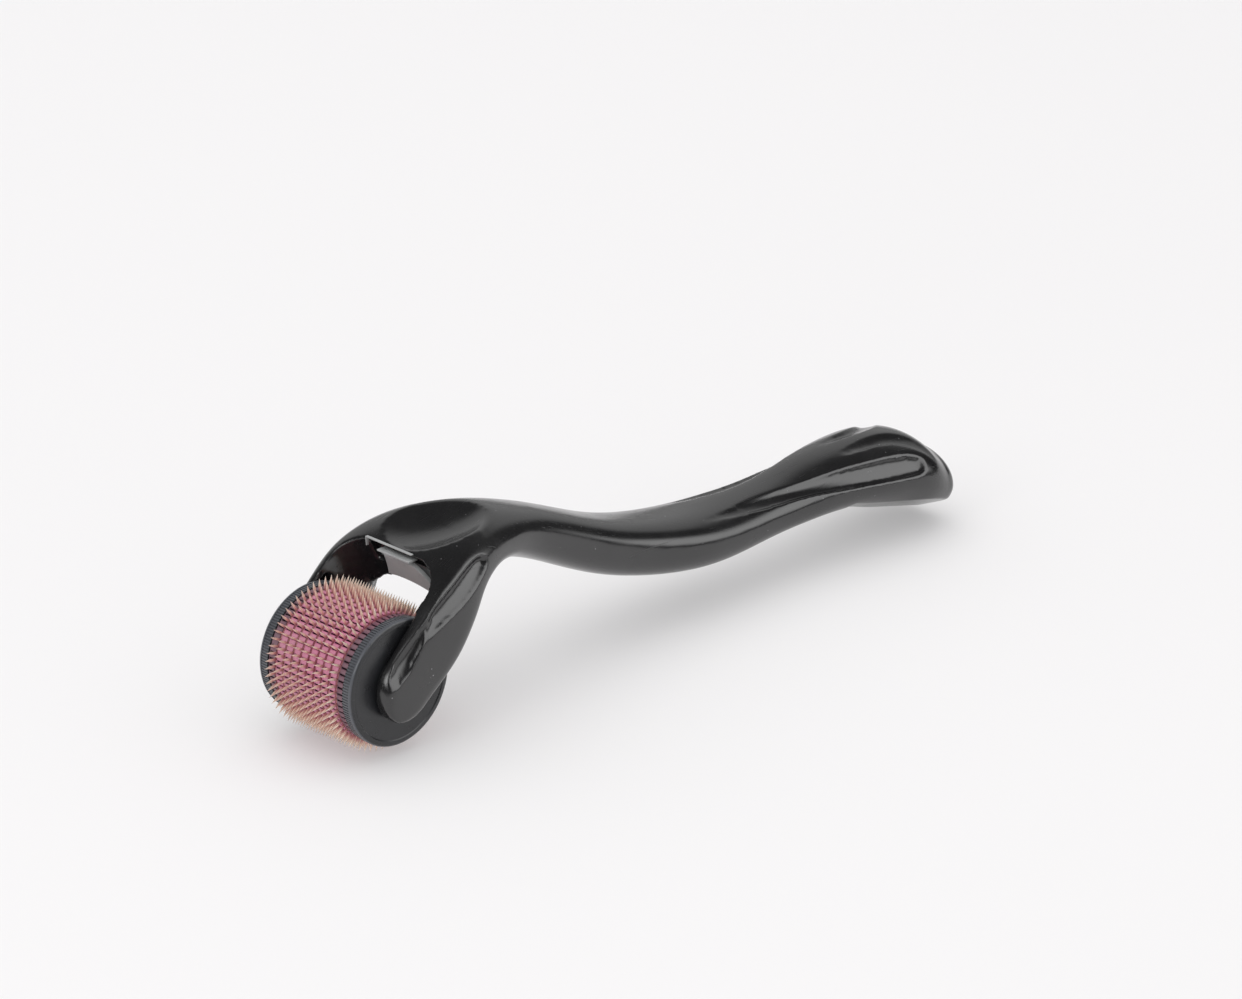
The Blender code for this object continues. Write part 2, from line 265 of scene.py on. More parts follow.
FLOOR_FLAT_FROM = 20 * MM                    # behind this nothing goes under the floor
# The slot over the catch plate and the notch beside it: two corners of each, from the axle.
LIP_SLOT = ((5.0 * MM, -6.2 * MM, 14.2 * MM), (10.8 * MM, 6.2 * MM, 15.2 * MM))
CATCH_NOTCH = ((5.0 * MM, 3.2 * MM, 11.9 * MM), (11.4 * MM, 6.0 * MM, 14.4 * MM))
# The crisp rim under the tail: places on it from the axle, and how far the underside falls from it
# to the middle, all mm.
TAIL_RIM = ((86.0, 6.6, -7.0), (99.0, 6.6, -2.4), (126.0, 6.6, -9.6))
TAIL_KEEL = 3.0
# Channels pressed into the skin. Each row is a place on the upper edge and one on the lower edge
# (forward, sideways, height from the axle, all mm).
ARM_PETAL = (
    (0.7, 12.9, 5.4, 1.0, 12.9, 5.4), (2.2, 12.7, 7.4, 3.4, 12.9, 7.6), (4.1, 12.4, 9.9, 6.4, 12.8, 9.2),
    (7.4, 12.3, 12.3, 10.0, 12.7, 10.4), (11.0, 11.4, 14.2, 13.4, 12.0, 11.7),
    (14.0, 10.7, 15.3, 15.6, 11.4, 12.9), (15.7, 10.4, 15.4, 16.6, 10.8, 13.8),
    (16.5, 10.3, 15.1, 16.9, 10.4, 14.6),
)
ARM_VALLEY = (
    (-4.7, 12.3, 0.1, -4.3, 12.6, 0.4), (-3.7, 12.3, 2.7, -1.8, 12.9, 2.8),
    (-1.7, 12.3, 5.1, 0.5, 12.9, 5.2),
    (0.6, 12.4, 7.3, 2.1, 12.8, 7.1), (2.6, 12.3, 9.2, 3.5, 12.6, 8.9), (4.4, 12.2, 10.8, 4.7, 12.3, 10.7),
)
TAIL_CHANNEL = (
    (66.0, 4.2, 4.3, 66.0, 4.9, 3.8), (73.0, 3.7, 3.6, 72.5, 4.9, 2.8), (81.8, 2.9, 2.9, 80.0, 4.9, 2.0),
    (88.9, 3.5, 2.9, 88.2, 5.8, 1.6), (95.5, 4.7, 3.2, 96.1, 7.2, 1.0), (102.8, 6.1, 3.1, 103.5, 8.4, 0.4),
    (107.5, 6.7, 2.8, 108.5, 8.9, 0.0), (110.8, 7.5, 2.0, 111.6, 9.0, -0.1),
    (112.6, 8.5, 0.9, 113.0, 8.9, 0.1),
)
CROWN_PETAL = (
    (98.5, 2.0, 4.3, 99.0, 2.5, 4.2), (103.0, 1.5, 4.6, 103.6, 3.4, 4.2),
    (107.6, 1.0, 4.6, 107.8, 3.9, 4.2),
    (111.4, 1.6, 4.2, 110.7, 4.9, 3.6), (113.9, 3.9, 3.1, 113.0, 6.2, 2.4),
    (115.5, 6.1, 1.2, 114.7, 7.3, 0.9),
    (116.6, 7.8, -0.9, 116.2, 8.2, -1.1),
)
# Each channel: its rows, its depth in mm, where it is deepest, from 1 at the upper edge to -1, its
# greatest depth as a share of its width, how flat its floor is, and the shares of its length over
# which its two ends rise.
CHANNELS = (
    (ARM_PETAL, 1.0, 0.7, 0.42, 1.0, 0.28, 0.12), (ARM_VALLEY, 0.75, 0.4, 0.32, 1.0, 0.25, 0.35),
    (TAIL_CHANNEL, 0.6, -0.3, 0.42, 1.0, 0.28, 0.12), (CROWN_PETAL, 0.55, -0.6, 0.42, 0.25, 0.3, 0.6),
)
CHANNEL_STEPS = 14                           # lines across a channel, from one row to the next
CHANNEL_MARGIN = 4 * MM                      # skin further off than this is not looked at
CHANNEL_REACH = 2.2 * MM                     # a channel moves the skin up to this far from its floor
CHANNEL_HALF_STEP = 0.7 * MM                 # and up to this far past its nearest line
# Where the bowl runs out softly into the neck: from and to these distances from the axle towards
# the tail, and above this height.
BOWL_BLEND = (19.0 * MM, 36.0 * MM, 15.0 * MM)
SKIN_GRAIN = 0.3 * MM    # size of the skin's mesh squares


def catmull(a, b, c, d, t):
    """A value on the smooth curve from b to c, at the share t of the way."""
    return 0.5 * (2 * b + (c - a) * t + (2 * a - 5 * b + 4 * c - d) * t ** 2
                  + (3 * b - a - 3 * c + d) * t ** 3)


def smooth_rows(rows, steps):
    """The rows with smooth rows between them."""
    last = len(rows) - 1
    made = []
    for i in range(last):
        four = rows[max(i - 1, 0)], rows[i], rows[i + 1], rows[min(i + 2, last)]
        made += [tuple(catmull(*values, step / steps) for values in zip(*four)) for step in range(steps)]
    return [*made, rows[last]]


def handle_section(x, z, half_width, up, down, square_up, square_down, lean):
    """One closed outline across the handle, from a station's values in mm."""
    across = Vector((-sin(radians(lean)), 0, cos(radians(lean))))
    points = []
    for i in range(SECTION_POINTS):
        a = 2 * pi * (i + 0.5) / SECTION_POINTS
        reach, square = (up, square_up) if sin(a) > 0 else (-down, square_down)
        y = half_width * abs(cos(a)) ** (2 / square) * (1 if cos(a) > 0 else -1)
        points.append(AXLE + MM * (Vector((x, y, z)) + across * reach * abs(sin(a)) ** (2 / square)))
    return points


def handle_rings():
    """Sections from the round end of the arms to the round end of the tail."""
    reach, floor = TAIL_REACH / MM, -AXLE.z / MM
    head = HEAD_STATIONS[-1][0]
    stretch = (reach - head) / (GRIP_STATIONS[-1][0] + TAIL_ROUND - head)
    stations = [*HEAD_STATIONS,
                *((head + (s[0] - head) * stretch, s[1] + floor, *s[2:]) for s in GRIP_STATIONS)]
    x, z, width, up, down, square_up, square_down, lean = stations[0]
    rings = []
    for angle in ARM_END_ANGLES:
        back, share = ARM_END_R / MM * sin(radians(angle)), cos(radians(angle))
        rings.append(handle_section(x - back * cos(radians(lean)), z - back * sin(radians(lean)),
                                    width, up * share, down * share, square_up, square_down, lean))
    rings += [handle_section(*row) for row in smooth_rows(stations, RINGS_PER_SPAN)]
    x, z, width, up, down, square_up, square_down, lean = stations[-1]
    for angle in TAIL_END_ANGLES:
        out, share = sin(radians(angle)), cos(radians(angle))
        drop = TAIL_DROP * (1 - share)
        rings.append(handle_section(x + TAIL_ROUND * out, z - drop, width * share ** 0.7, up * share,
                                    (down - drop) * share ** 0.5, square_up, square_down, lean))
    return rings


def trough(t, lean):
    """Depth across a channel, from 0 at its edges to 1 where it is deepest."""
    deepest = 0.62 * lean
    run = np.where(t > deepest, (t - deepest) / (1 - deepest), (deepest - t) / (1 + deepest))
    return 1 - np.clip(run, 0, 1) ** (4 - 2.7 * abs(lean))


def unit(rows):
    """Each row made one long."""
    return rows / np.linalg.norm(rows, axis=1, keepdims=True)


def even_out(rows, reach=9):
    """Each row averaged with its neighbours."""
    padded = np.pad(rows, ((reach, reach), (0, 0)), mode="edge")
    return sum(padded[k:k + len(rows)] for k in range(2 * reach + 1)) / (2 * reach + 1)


def channel_lines(skin, rows, side):
    """A channel's upper and lower edge laid on the skin, and the way out of the skin between them."""
    upper, lower, outward = [], [], []
    for row in smooth_rows(rows, CHANNEL_STEPS):
        ends = [AXLE + MM * Vector((x, side * y, z)) for x, y, z in (row[:3], row[3:])]
        ends = [skin.closest_point_on_mesh(end)[1] for end in ends]
        outward.append(skin.closest_point_on_mesh((ends[0] + ends[1]) / 2)[2])
        upper.append(ends[0])
        lower.append(ends[1])
    return [even_out(np.array(line)) for line in (upper, lower, outward)]


def carve(skin, lines, depth, lean, steepest, flatness, rise_in, rise_out):
    """Presses a channel into the skin: a ruled floor between two edge lines, sunk by the depth."""
    # Along the channel: its middle line, width, directions, and depth with the ends rising.
    upper, lower, outward = lines
    centre = (upper + lower) / 2
    width = np.linalg.norm(upper - lower, axis=1)
    across = unit(even_out(unit(upper - lower)))
    along = unit(np.gradient(centre, axis=0))
    out = unit(np.cross(along, across))
    out *= np.sign(np.sum(out * outward, axis=1))[:, None]
    share = np.linspace(0, 1, len(centre))
    taper = np.sin(np.clip(np.minimum(share / rise_in, (1 - share) / rise_out), 0, 1) * pi / 2) ** 2
    sunk = np.minimum(depth * MM, steepest * width) * taper
    # Each vertex near it: its share across the channel, its height over the floor, its way ahead.
    places = np.empty(len(skin.data.vertices) * 3)
    skin.data.vertices.foreach_get("co", places)
    places = places.reshape(-1, 3)
    low, high = centre.min(0) - CHANNEL_MARGIN, centre.max(0) + CHANNEL_MARGIN
    near = np.all((places > low) & (places < high), axis=1).nonzero()[0]
    gaps = places[near][:, None, :] - centre[None, :, :]
    nearest = np.argmin(np.sum(gaps ** 2, axis=2), axis=1)
    gap = gaps[np.arange(len(near)), nearest]
    t = np.sum(gap * across[nearest], axis=1) / (width[nearest] / 2)
    height = np.sum(gap * out[nearest], axis=1) * taper[nearest] * flatness
    ahead = np.sum(gap * along[nearest], axis=1)
    inside = (np.abs(t) < 1) & (np.abs(height) < CHANNEL_REACH) & (np.abs(ahead) < CHANNEL_HALF_STEP)
    drop = height * np.clip(1 - t ** 6, 0, 1) + sunk[nearest] * trough(t, lean)
    places[near[inside]] -= (out[nearest] * drop[:, None])[inside]
    skin.data.vertices.foreach_set("co", places.ravel())
    skin.data.update()


def soften_area(piece, wanted, iterations):
    """Smooths the vertices that pass the test."""
    group = piece.vertex_groups.new(name="area")
    group.add([v.index for v in piece.data.vertices if wanted(v.co - AXLE)], 1.0, "REPLACE")
    apply_modifier(piece, "SMOOTH", factor=0.5, iterations=iterations, vertex_group=group.name)
    piece.vertex_groups.clear()


def tail_wedge():
    """All that lies under the tail's two rims."""
    side, deep = 20, -40
    rings = []
    for x, y, z in TAIL_RIM:
        slope = TAIL_KEEL / y
        side_z = z + (side - y) * slope
        rings.append([AXLE + MM * Vector(corner) for corner in (
            (x, 0, z - TAIL_KEEL), (x, side, side_z), (x, side, deep), (x, -side, deep),
            (x, -side, side_z))])
    return tube_through(rings)


def bay_wall_cutter():
    """The round space between the arms, with its corners rounded off."""
    x, z, radius = BAY_WALL
    wall = round_bar(radius, -ARM_INNER + BAY_STEP, ARM_INNER - BAY_STEP, CUTTER_SIDES, x, z)
    done(wall)
    edit(wall)
    pick_edges(wall, lambda a, b: abs(a.y - b.y) < TOUCH)
    bpy.ops.mesh.bevel(offset=BAY_CORNER, segments=9, profile=0.5)
    return done(wall)


def make_handle():
    """The whole moulding: a tube with the fork's hollows cut out, meshed evenly, then channelled."""
    skin = tube_through(handle_rings())
    apply_modifier(skin, "SUBSURF", levels=2, render_levels=2)
    cutters = [
        done(round_bar(CAP_ROOM_R, -ARM_INNER, ARM_INNER, CUTTER_SIDES)),
        done(round_bar(NEEDLE_ROOM_R, -NEEDLE_ROOM_HALF, NEEDLE_ROOM_HALF, CUTTER_SIDES)),
        bay_wall_cutter(),
        egg(*BOWL), egg(*UNDERCUT),
        done(round_bar(POCKET_R, -POCKET_END, POCKET_END, 48)),
        block(*LIP_SLOT), block(*CATCH_NOTCH), tail_wedge(),
        block((FLOOR_FLAT_FROM, -2 * ARM_OUTER, -2 * AXLE.z), (2 * TAIL_REACH, 2 * ARM_OUTER, -AXLE.z)),
    ]
    for cutter in cutters:
        cut(skin, cutter)
    apply_modifier(skin, "REMESH", mode="VOXEL", voxel_size=SKIN_GRAIN, use_smooth_shade=True)
    apply_modifier(skin, "SMOOTH", factor=0.5, iterations=4)
    start, end, above = BOWL_BLEND
    soften_area(skin, lambda place: start < place.x < end and place.z > above, 30)
    bpy.context.view_layer.update()
    # All the lines are laid before the first channel is cut, so each lies on the plain skin.
    laid = [(channel_lines(skin, rows, side), shape) for side in (-1, 1) for rows, *shape in CHANNELS]
    for lines, shape in laid:
        carve(skin, lines, *shape)
    apply_modifier(skin, "SMOOTH", factor=0.5, iterations=4)
    return done(skin, "handle_skin")


# ---- Roller -----------------------------------------------------------------------
FACES_PER_BLOCK = 4              # faces round a ring for each block; one of them is a groove
GROOVE_DEPTH = 0.4 * MM
BLOCK_ROUNDING = 0.14 * MM
FACES_PER_NEEDLE = 3             # faces round a disc for each needle; one of them carries it
CAP_SIDES = 288                  # every second face of a cap's band is sunk as a knurl groove
CAP_BAND = 1.3 * MM              # width of the knurled band at a cap's inner end
CAP_BAND_R = CAP_R - 0.06 * MM
KNURL_DEPTH = 0.09 * MM


def from_axle(point):
    """Distance from the roller's axis."""
    return sqrt((point.x - AXLE.x) ** 2 + (point.z - AXLE.z) ** 2)


def turn_of(point):
    """Turn about the roller's axis, as a share of a full turn."""
    return (Vector((1, 0)).angle_signed(Vector((point.x - AXLE.x, point.z - AXLE.z))) / (2 * pi)) % 1


def bore_through(piece, radius, bore):
    """Opens a round hole in both flat faces of a plate along Y and joins them."""
    pick_faces(piece, lambda c, n: abs(n.y) > FACING and from_axle(c) < MIDDLE_R)
    bpy.ops.mesh.inset(thickness=radius - bore, use_even_offset=False)
    bpy.ops.mesh.bridge_edge_loops()


def make_ring():
    """One rose ring at the middle of the drum: sixty blocks with grooves between them."""
    sides = NEEDLES_PER_DISC * FACES_PER_BLOCK
    ring = round_bar(DRUM_R, -SPACER_T / 2, SPACER_T / 2, sides)
    done(ring)
    edit(ring)
    bore_through(ring, DRUM_R, CORE_R + BORE_GAP)
    pick_faces(ring, lambda c, n: from_axle(c) > 0.9 * DRUM_R and abs(n.y) < 0.5
               and int(turn_of(c) * sides) % FACES_PER_BLOCK == 1)
    bpy.ops.mesh.extrude_region_shrink_fatten(TRANSFORM_OT_shrink_fatten={"value": -GROOVE_DEPTH})

    def on_rim(place):
        return abs(abs(place.y) - SPACER_T / 2) < TOUCH and from_axle(place) > DRUM_R - 0.05 * MM

    pick_edges(ring, lambda a, b: on_rim(a) and on_rim(b) and abs(a.y - b.y) < TOUCH)
    bpy.ops.mesh.bevel(offset=BLOCK_ROUNDING, segments=2, profile=0.6)
    return done(ring)


def make_disc():
    """One etched disc at the middle of the drum: a thin plate with sixty needles."""
    sides = NEEDLES_PER_DISC * FACES_PER_NEEDLE
    disc = round_bar(DISC_ROOT_R, -DISC_T / 2, DISC_T / 2, sides)
    done(disc)
    edit(disc)
    bore_through(disc, DISC_ROOT_R, CORE_R + BORE_GAP)
    pick_faces(disc, lambda c, n: from_axle(c) > 0.9 * DISC_ROOT_R and abs(n.y) < 0.5
               and int(turn_of(c) * sides) % FACES_PER_NEEDLE == 1)
    half = 0.5 * (NEEDLE_TIP_R - DISC_ROOT_R)
    bpy.ops.mesh.extrude_region_shrink_fatten(TRANSFORM_OT_shrink_fatten={"value": half})
    bpy.ops.mesh.poke(offset=half)
    return done(disc)


def copy_along(pattern, name, y):
    """A copy of the pattern, moved along the axle, with a mesh of its own."""
    piece = pattern.copy()
    piece.data = pattern.data.copy()
    piece.name = piece.data.name = name
    bpy.context.scene.collection.objects.link(piece)
    piece.data.transform(Matrix.Translation((0, y, 0)))
    return piece


def middle_along(node_name):
    """Where the middle of a node lies along the axle."""
    low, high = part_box(node_name)
    return (low.y + high.y) / 2


def make_cap(side, name):
    """An end cap: knurled inner band, smooth rim, flat face, journal and spigot."""
    near, far = CAP_INNER + 0.05 * MM, CAP_OUTER
    cap = round_bar(CAP_BAND_R, near, near + CAP_BAND, CAP_SIDES)
    done(cap)
    edit(cap)

    def grow(way, steps):
        """Extrudes the end face that looks this way along Y; a step is its travel and new radius."""
        reached = CAP_BAND_R
        for travel, radius in steps:
            pick_faces(cap, lambda c, n: way * n.y > FACING and from_axle(c) < MIDDLE_R)
            bpy.ops.mesh.extrude_region_move(TRANSFORM_OT_translate={"value": (0, way * travel, 0)})
            scale = radius / reached
            bpy.ops.transform.resize(value=(scale, 1, scale), center_override=(AXLE.x, near, AXLE.z))
            reached = radius

    smooth_rim = far - near - CAP_BAND - 0.46 * MM
    grow(1, (
        (0.0, CAP_R), (0.06 * MM, CAP_R), (smooth_rim, CAP_R),
        (0.14 * MM, CAP_R - 0.05 * MM), (0.14 * MM, CAP_R - 0.17 * MM),      # the rim's rounded edge
        (0.12 * MM, CAP_R - 0.42 * MM), (0.0, CAP_R - 0.9 * MM),
        (-0.12 * MM, CAP_R - 1.05 * MM), (0.0, CAP_R - 5.2 * MM),            # the sunk face
        (0.12 * MM, CAP_R - 5.4 * MM), (0.0, JOURNAL_R),                     # the boss round the journal
        (JOURNAL_L - 0.2 * MM, JOURNAL_R), (0.2 * MM, JOURNAL_R - 0.25 * MM),
    ))
    grow(-1, ((0.0, SPIGOT_R), (SPIGOT_L - 0.3 * MM, SPIGOT_R), (0.3 * MM, SPIGOT_R - 0.3 * MM)))
    pick_faces(cap, lambda c, n: abs(n.y) < 0.3 and c.y < near + CAP_BAND
               and from_axle(c) > 0.95 * CAP_R and int(turn_of(c) * CAP_SIDES) % 2 == 0)
    bpy.ops.mesh.extrude_region_shrink_fatten(TRANSFORM_OT_shrink_fatten={"value": -KNURL_DEPTH})
    done(cap, name)
    if side < 0:
        cap.data.transform(Matrix.Scale(-1, 4, (0, 1, 0)))
        edit(cap)
        done(cap)
    return cap


# ---- Catch between the arms --------------------------------------------------------
PLATE_PROUD = 0.3 * MM           # the plate's middle surface stands this much out of the wall
PLATE_T = 0.7 * MM


def wall_place(y, z, proud):
    """A place on the wall between the arms, a little proud of it."""
    x, middle_z, radius = BAY_WALL
    reach = radius - proud
    return AXLE + Vector((x + sqrt(reach ** 2 - (z - middle_z) ** 2), y, z))


def make_catch_plate():
    """The plate on the wall between the arms: cut corners, arched lower edge. Its light grey colour is a
    painted reflection.
    """
    middle_y, half_width, flare = -1.4, 4.4, 0.5             # mm; wider by the flare at its foot
    corner_from, corner_run, corner_fall = 3.0, 2.8, 2.3     # mm; where and how the top falls away
    top_z, foot_z, arch, arch_half = 13.9, 9.7, 0.7, 5.8     # mm; heights from the axle
    clear_selection()
    bpy.ops.mesh.primitive_grid_add(x_subdivisions=40, y_subdivisions=14, size=2)
    plate = bpy.context.object
    for vertex in plate.data.vertices:
        u, v = vertex.co.x, (vertex.co.y + 1) / 2
        y = middle_y + half_width * u + flare * (1 - v) * u
        slant = max(abs(y) - corner_from, 0) / corner_run
        top = top_z - corner_fall * slant ** 1.3
        foot = foot_z + arch * (1 - (y / arch_half) ** 2)
        vertex.co = wall_place(y * MM, (foot + (top - foot) * v) * MM, PLATE_PROUD)
    apply_modifier(plate, "SOLIDIFY", thickness=PLATE_T, offset=0)
    apply_modifier(plate, "BEVEL", width=0.14 * MM, segments=2, limit_method="ANGLE")
    return done(plate, "catch_plate")


def round_off(piece, width, name):
    """Bevels every edge of the piece in hand and names it."""
    bpy.ops.mesh.select_all(action="SELECT")
    bpy.ops.mesh.bevel(offset=width, segments=2, profile=0.5)
    return done(piece, name)


def make_catch_ledge():
    """The thin bar that stands in the slot above the plate."""
    ledge = block((7.6 * MM, -3.8 * MM, 14.62 * MM), (9.4 * MM, 3.0 * MM, 14.92 * MM))
    edit(ledge)
    return round_off(ledge, 0.08 * MM, "catch_ledge")


def make_catch_lip():
    """The thin raised lip over the slot, turned down at its left end; its grey is a painted highlight line
    along the bowl's front edge.
    """
    left_end, turn_w, turn_h = 5.6 * MM, 0.2 * MM, 1.3 * MM
    lip = block((7.9 * MM, -4.0 * MM, 15.86 * MM), (8.4 * MM, left_end, 16.04 * MM))
    edit(lip)
    pick_faces(lip, lambda c, n: n.y > FACING)
    bpy.ops.mesh.extrude_region_move(TRANSFORM_OT_translate={"value": (0, turn_w, 0)})
    pick_faces(lip, lambda c, n: n.z < -FACING and c.y > left_end)
    bpy.ops.mesh.extrude_region_move(TRANSFORM_OT_translate={"value": (0.1 * MM, 0, -turn_h)})
    return round_off(lip, 0.05 * MM, "catch_lip")


# ---- Node groups and materials ---------------------------------------------------
def new_group(name, inputs, outputs):
    """A shader node group; inputs and outputs are (name, socket type, default)."""
    tree = bpy.data.node_groups.new(name, "ShaderNodeTree")
    for label, kind, value in inputs:
        tree.interface.new_socket(name=label, in_out="INPUT", socket_type=kind).default_value = value
    for label, kind in outputs:
        tree.interface.new_socket(name=label, in_out="OUTPUT", socket_type=kind)
    return tree, tree.nodes.new("NodeGroupInput"), tree.nodes.new("NodeGroupOutput")


def node(tree, kind, links=(), **values):
    """A node with its properties and unlinked sockets set, and links made into it."""
    made = tree.nodes.new(kind)
    for key, value in values.items():
        if hasattr(made, key):
            setattr(made, key, value)
        else:
            made.inputs[key].default_value = value
    for socket, source in dict(links).items():
        tree.links.new(source, made.inputs[socket])
    return made


def maths(tree, operation, a, b=None, clamp=False):
    """One sum; a and b are numbers or other nodes' outputs."""
    made = tree.nodes.new("ShaderNodeMath")
    made.operation = operation
    made.use_clamp = clamp
    for socket, value in zip(made.inputs, (a, b)):
        if value is None:
            continue
        if isinstance(value, (int, float)):
            socket.default_value = value
        else:
            tree.links.new(value, socket)
    return made.outputs[0]


def noise(tree, where, scale, detail=2.0, roughness=0.5):
    """Cloudy noise from 0 to 1; the scale is a number or another node's output."""
    made = node(tree, "ShaderNodeTexNoise", {"Vector": where}, Detail=detail, Roughness=roughness)
    if isinstance(scale, (int, float)):
        made.inputs["Scale"].default_value = scale
    else:
        tree.links.new(scale, made.inputs["Scale"])
    return made.outputs["Fac"]


def ramp(tree, value, stops):
    """The colour at a value, from stops of (place, colour)."""
    made = node(tree, "ShaderNodeValToRGB", {"Fac": value})
    while len(made.color_ramp.elements) < len(stops):
        made.color_ramp.elements.new(0.5)
    for element, (place, colour) in zip(made.color_ramp.elements, stops):
        element.position = place
        element.color = (*colour, 1)
    return made.outputs["Color"]


def span(tree, value, low, high, to_low=0.0, to_high=1.0):
    """Stretches low..high to another range and clamps it there."""
    made = node(tree, "ShaderNodeMapRange", {"Value": value})
    for label, number in (("From Min", low), ("From Max", high), ("To Min", to_low), ("To Max", to_high)):
        made.inputs[label].default_value = number
    return made.outputs["Result"]


def mix(tree, factor, a, b):
    """Colour a, going over to colour b as the factor rises to 1."""
    made = tree.nodes.new("ShaderNodeMix")
    made.data_type = "RGBA"
    for place, value in ((0, factor), (6, a), (7, b)):      # the colour sockets are at 6 and 7
        socket = made.inputs[place]
        if isinstance(value, (int, float)):
            socket.default_value = value
        elif isinstance(value, tuple):
            socket.default_value = (*value, 1)
        else:
            tree.links.new(value, socket)
    return made.outputs[2]


def build_axle_distance():
    """Distance from the roller's axis in millimetres."""
    tree, _, out = new_group("axle_distance", (), (("Millimetres", "NodeSocketFloat"),))
    where = tree.nodes.new("ShaderNodeTexCoord").outputs["Object"]
    moved = node(tree, "ShaderNodeVectorMath", {0: where}, operation="SUBTRACT")
    moved.inputs[1].default_value = AXLE
    flat = node(tree, "ShaderNodeVectorMath", {0: moved.outputs[0]}, operation="MULTIPLY")
    flat.inputs[1].default_value = (1000, 0, 1000)
    length = node(tree, "ShaderNodeVectorMath", {0: flat.outputs[0]}, operation="LENGTH")
    tree.links.new(length.outputs["Value"], out.inputs["Millimetres"])
    return tree


def build_moulded_skin():
    """Fine unevenness of moulded plastic: a height, and a mask of slightly duller patches."""
    tree, given, out = new_group(
        "moulded_skin",
        (("Grain Scale", "NodeSocketFloat", 9000.0), ("Wave Scale", "NodeSocketFloat", 260.0)),
        (("Height", "NodeSocketFloat"), ("Patches", "NodeSocketFloat")))
    where = tree.nodes.new("ShaderNodeTexCoord").outputs["Object"]
    grain = noise(tree, where, given.outputs["Grain Scale"], 3.0)
    wave = noise(tree, where, given.outputs["Wave Scale"], 1.0)
    height = maths(tree, "ADD", maths(tree, "MULTIPLY", grain, 0.35), wave)
    tree.links.new(height, out.inputs["Height"])
    patches = span(tree, noise(tree, where, 120.0, 5.0, 0.65), 0.35, 0.7)
    tree.links.new(patches, out.inputs["Patches"])
    return tree


def build_handling_marks():
    """Hairline scratches and specks of dust, as two masks."""
    tree, given, out = new_group(
        "handling_marks",
        (("Speck Amount", "NodeSocketFloat", 0.5), ("Scratch Amount", "NodeSocketFloat", 0.5)),
        (("Specks", "NodeSocketFloat"), ("Scratches", "NodeSocketFloat")))
    where = tree.nodes.new("ShaderNodeTexCoord").outputs["Object"]
    cells = node(tree, "ShaderNodeTexVoronoi", {"Vector": where}, Scale=1500.0)
    dots = span(tree, cells.outputs["Distance"], 0.19, 0.10)
    some = span(tree, noise(tree, where, 420.0, 4.0, 0.7), 0.60, 0.66)
    area = span(tree, noise(tree, where, 60.0, 2.0), 0.42, 0.60)
    specks = maths(tree, "MULTIPLY", maths(tree, "MULTIPLY", dots, some), area)
    specks = maths(tree, "MULTIPLY", specks, given.outputs["Speck Amount"], clamp=True)
    tree.links.new(specks, out.inputs["Specks"])
    # Scratches: stretched noise in three directions, of which only the highest crests show.
    lines = None
    for turn, stretch in ((20, 1.0), (-38, 1.3), (71, 0.8)):
        placed = node(tree, "ShaderNodeMapping", {"Vector": where}, vector_type="POINT")
        placed.inputs["Rotation"].default_value = (radians(turn * 0.6), radians(turn), radians(turn * 1.7))
        placed.inputs["Scale"].default_value = (60 * stretch, 4200 * stretch, 900 * stretch)
        one = span(tree, noise(tree, placed.outputs[0], 1.0, 1.0), 0.735, 0.76)
        lines = one if lines is None else maths(tree, "MAXIMUM", lines, one)
    scratches = maths(tree, "MULTIPLY", lines, given.outputs["Scratch Amount"], clamp=True)
    tree.links.new(scratches, out.inputs["Scratches"])
    return tree


GROUPS = {}


def use_group(tree, name, **values):
    made = tree.nodes.new("ShaderNodeGroup")
    made.node_tree = GROUPS[name]
    for label, value in values.items():
        made.inputs[label.replace("_", " ")].default_value = value
    return made.outputs


def new_material(name, metallic=0.0, **constants):
    material = bpy.data.materials.new(name)
    material.use_nodes = True
    tree = material.node_tree
    shader = tree.nodes["Principled BSDF"]
    shader.inputs["Metallic"].default_value = metallic
    for label, value in constants.items():
        shader.inputs[label.replace("_", " ")].default_value = value
    return material, tree, shader


def bump(tree, shader, height, strength, distance):
    made = node(tree, "ShaderNodeBump", {"Height": height}, Strength=strength, Distance=distance)
    tree.links.new(made.outputs["Normal"], shader.inputs["Normal"])


def gloss_black():
    material, tree, shader = new_material("gloss_black_plastic", IOR=1.68)
    skin = use_group(tree, "moulded_skin", Grain_Scale=7000.0, Wave_Scale=210.0)
    marks = use_group(tree, "handling_marks", Speck_Amount=0.75, Scratch_Amount=0.6)
    colour = mix(tree, skin["Patches"], (0.0078, 0.0077, 0.0082), (0.0125, 0.0124, 0.0130))
    colour = mix(tree, marks["Specks"], colour, (0.55, 0.55, 0.57))
    tree.links.new(colour, shader.inputs["Base Color"])
    rough = span(tree, skin["Patches"], 0.0, 1.0, 0.16, 0.23)
    rough = maths(tree, "ADD", rough, maths(tree, "MULTIPLY", marks["Scratches"], 0.25))
    rough = maths(tree, "ADD", rough, maths(tree, "MULTIPLY", marks["Specks"], 0.5), clamp=True)
    tree.links.new(rough, shader.inputs["Roughness"])
    height = maths(tree, "SUBTRACT", skin["Height"], maths(tree, "MULTIPLY", marks["Scratches"], 0.25))
    bump(tree, shader, height, 0.12, 0.00012)
    return material


